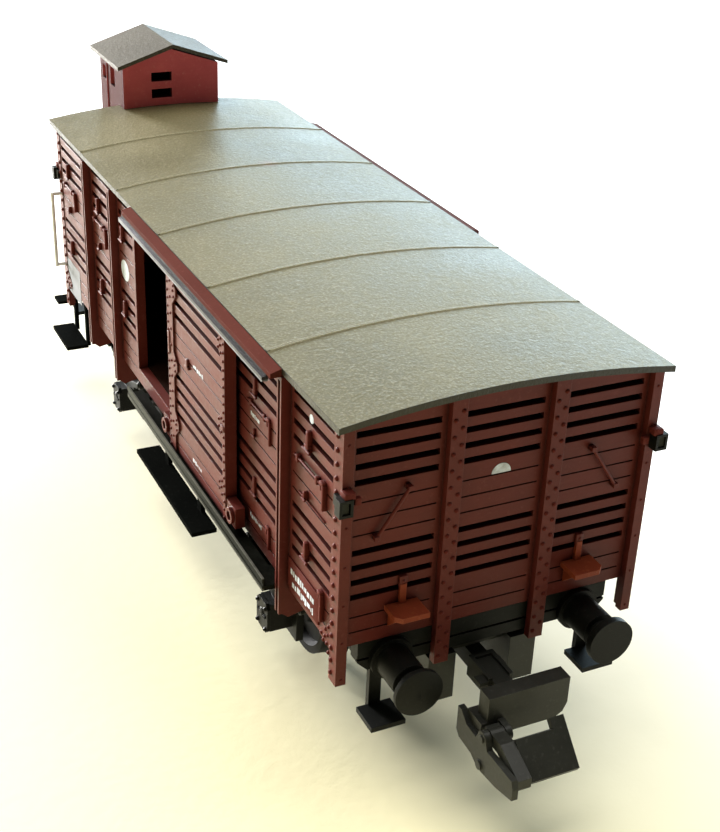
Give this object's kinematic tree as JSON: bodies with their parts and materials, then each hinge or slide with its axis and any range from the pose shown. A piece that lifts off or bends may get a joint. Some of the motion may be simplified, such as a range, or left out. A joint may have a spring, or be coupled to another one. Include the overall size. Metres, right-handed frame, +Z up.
{
  "type": "model box car",
  "caption": "Two-axle slatted model box car with sliding side doors, a raised brakeman's cab at one end, buffers, and swivelling couplers with lifting loops.",
  "frame": {"origin": "centre of the car over the buffers, on the surface that the wheel flanges stand on", "axes": "+X along the car to the end without the cab, +Y across to the right side, +Z up"},
  "size_m": [0.1246, 0.0354, 0.0475],
  "materials": {
    "red_brown_plastic": "matt red-brown moulded and printed plastic",
    "cab_red_plastic": "matt red plastic, a little redder than the body",
    "step_brown_plastic": "matt orange-brown plastic",
    "roof_grey_plastic": "fine-grained olive-grey plastic with a low sheen",
    "rail_grey_paint": "light grey paint, semi-matt",
    "frame_black_plastic": "black plastic, low sheen",
    "blackened_metal": "blackened turned metal, worn bright on the tread",
    "bare_steel": "turned or rolled steel",
    "brass": "turned brass",
    "insulator_plastic": "ivory insulating plastic"
  },
  "bodies": {
    "car": {"body_shell": "red_brown_plastic", "roof": "roof_grey_plastic", "floor_plate": "step_brown_plastic", "ballast_plate": "bare_steel", "underframe": "frame_black_plastic", "end_platform": "step_brown_plastic", "door_hood_left": "red_brown_plastic", "door_hood_right": "red_brown_plastic", "top_rail_left": "rail_grey_paint", "top_rail_right": "rail_grey_paint", "lower_rail_left": "frame_black_plastic", "lower_rail_right": "frame_black_plastic", "loading_step_left": "frame_black_plastic", "loading_step_right": "frame_black_plastic", "shunter_step_front_left": "frame_black_plastic", "shunter_step_front_right": "frame_black_plastic", "shunter_step_rear_left": "frame_black_plastic", "shunter_step_rear_right": "frame_black_plastic", "cab_step_left": "frame_black_plastic", "cab_step_right": "frame_black_plastic", "buffer_steps": "step_brown_plastic", "grab_handles": "red_brown_plastic", "lamp_bracket_front_left": "frame_black_plastic", "lamp_bracket_front_right": "frame_black_plastic", "lamp_bracket_rear_left": "frame_black_plastic", "lamp_bracket_rear_right": "frame_black_plastic", "cab_shell": "cab_red_plastic", "cab_roof": "roof_grey_plastic", "cab_supports": "frame_black_plastic", "cab_handrail_left": "bare_steel", "cab_handrail_right": "bare_steel", "buffer_front_left": "frame_black_plastic", "buffer_front_right": "frame_black_plastic", "buffer_rear_left": "frame_black_plastic", "buffer_rear_right": "frame_black_plastic", "axle_guard_front_left": "frame_black_plastic", "axle_guard_front_right": "frame_black_plastic", "axle_guard_rear_left": "frame_black_plastic", "axle_guard_rear_right": "frame_black_plastic", "bearing_cups": "brass", "brake_gear": "frame_black_plastic", "coupler_box_front": "frame_black_plastic", "coupler_box_rear": "frame_black_plastic", "pivot_pins": "bare_steel"},
    "door_left_body": {"door_left": "red_brown_plastic"},
    "door_right_body": {"door_right": "red_brown_plastic"},
    "wheelset_front": {"axle_front": "bare_steel", "wheel_front_left": "blackened_metal", "wheel_front_right": "blackened_metal", "wheel_bush_front": "insulator_plastic"},
    "wheelset_rear": {"axle_rear": "bare_steel", "wheel_rear_left": "blackened_metal", "wheel_rear_right": "blackened_metal", "wheel_bush_rear": "insulator_plastic"},
    "coupler_front": {"drawbar_front": "frame_black_plastic", "coupler_head_front": "frame_black_plastic"},
    "coupler_rear": {"drawbar_rear": "frame_black_plastic", "coupler_head_rear": "frame_black_plastic"},
    "loop_front": {"coupler_loop_front": "frame_black_plastic"},
    "loop_rear": {"coupler_loop_rear": "frame_black_plastic"}
  },
  "joints": [
    {"name": "door_left_slide", "type": "slide", "parent": "car", "child": "door_left_body", "axis": [1, 0, 0], "range_m": [-0.0168, 0.0054]},
    {"name": "door_right_slide", "type": "slide", "parent": "car", "child": "door_right_body", "axis": [-1, 0, 0], "range_m": [0, 0.018]},
    {"name": "wheelset_front_spin", "type": "hinge", "parent": "car", "child": "wheelset_front", "pos_m": [0.02885, 0, 0.0065], "axis": [0, 1, 0], "continuous": true},
    {"name": "wheelset_rear_spin", "type": "hinge", "parent": "car", "child": "wheelset_rear", "pos_m": [-0.02285, 0, 0.0065], "axis": [0, 1, 0], "continuous": true},
    {"name": "drawbar_front_swivel", "type": "hinge", "parent": "car", "child": "coupler_front", "pos_m": [0.041, 0, 0.0093], "axis": [0, 0, 1], "range_deg": [-10, 10], "stiffness_Nm_per_rad": 0.0001},
    {"name": "drawbar_rear_swivel", "type": "hinge", "parent": "car", "child": "coupler_rear", "pos_m": [-0.041, 0, 0.0093], "axis": [0, 0, 1], "range_deg": [-10, 10], "stiffness_Nm_per_rad": 0.0001},
    {"name": "loop_front_lift", "type": "hinge", "parent": "coupler_front", "child": "loop_front", "pos_m": [0.0569, -0.0041, 0.00917], "axis": [0, -1, 0], "range_deg": [0, 25]},
    {"name": "loop_rear_lift", "type": "hinge", "parent": "coupler_rear", "child": "loop_rear", "pos_m": [-0.0569, 0.0041, 0.00917], "axis": [0, 1, 0], "range_deg": [0, 25]}
  ]
}
